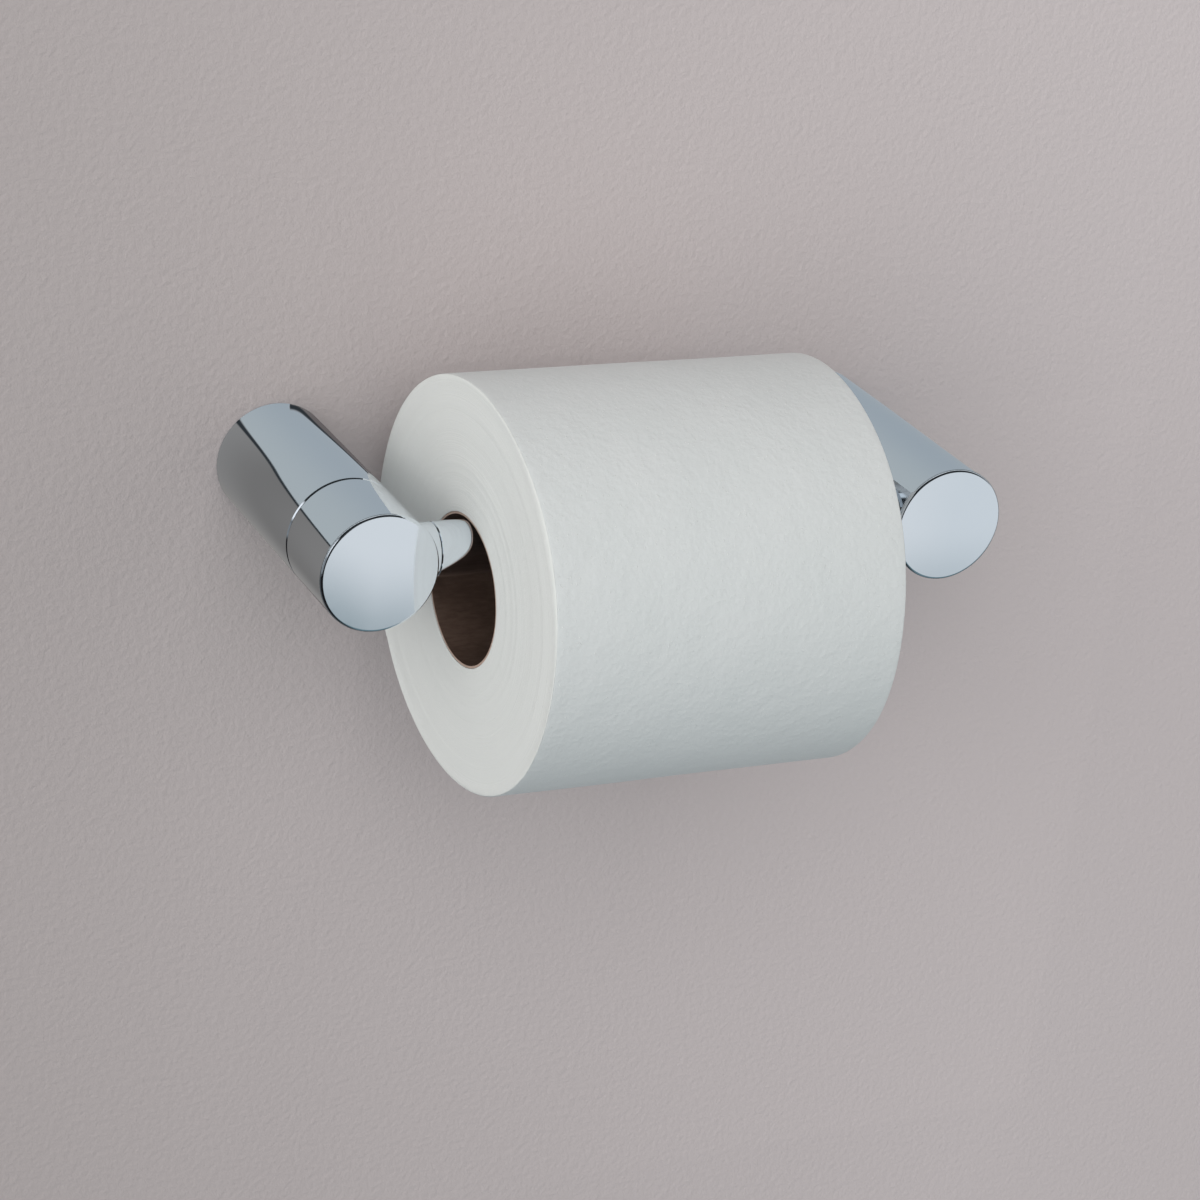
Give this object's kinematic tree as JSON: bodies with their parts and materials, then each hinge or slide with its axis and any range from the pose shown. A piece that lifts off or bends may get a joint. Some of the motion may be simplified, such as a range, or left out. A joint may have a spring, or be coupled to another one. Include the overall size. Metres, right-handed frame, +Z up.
{
  "type": "roll holder",
  "caption": "Wall-mounted roll holder: round posts with domed caps carry a pivoting arm that lifts out of a side cradle to take a roll.",
  "frame": {"origin": "on the wall plane, midway between the axes of the two posts", "axes": "+X to the right seen from the room, -Y out from the wall towards the room, +Y into the wall, +Z up"},
  "size_m": [0.197, 0.121, 0.11],
  "materials": {
    "polished_chrome": "polished",
    "zinc_plated_steel": "satin",
    "plain_steel": "satin",
    "spring_steel": "satin",
    "brass": "satin",
    "white_acetal": "satin",
    "black_nylon": "satin",
    "black_rubber": "matte",
    "brown_cardboard": "matte",
    "tissue_paper": "matte"
  },
  "bodies": {
    "frame": {"left_wall_bracket": "zinc_plated_steel", "right_wall_bracket": "zinc_plated_steel", "left_post": "polished_chrome", "right_post": "polished_chrome", "right_cap": "polished_chrome", "right_cap_o_ring": "black_rubber", "post_set_screws": "plain_steel", "bearing_housing": "brass", "rear_pivot_bush": "white_acetal", "front_pivot_bush": "white_acetal", "thrust_washer": "white_acetal", "stop_pin": "plain_steel", "cradle_pad": "black_nylon"},
    "arm": {"knuckle": "polished_chrome", "left_cap": "polished_chrome", "left_cap_o_ring": "black_rubber", "pivot_spindle": "plain_steel", "friction_washer": "plain_steel", "disc_spring": "spring_steel", "pivot_locknut": "zinc_plated_steel", "arm_tube": "polished_chrome", "arm_end_plug": "polished_chrome", "arm_set_screw": "plain_steel"},
    "roll": {"cardboard_core": "brown_cardboard", "paper_roll": "tissue_paper"}
  },
  "joints": [
    {"name": "arm_pivot", "type": "hinge", "parent": "frame", "child": "arm", "pos_m": [-0.0825, -0.054, 0], "axis": [0, -1, 0], "range_deg": [0, 100]},
    {"name": "roll_spin", "type": "hinge", "parent": "arm", "child": "roll", "pos_m": [-0.0042, -0.066, -0.0121], "axis": [1, 0, 0], "continuous": true}
  ]
}
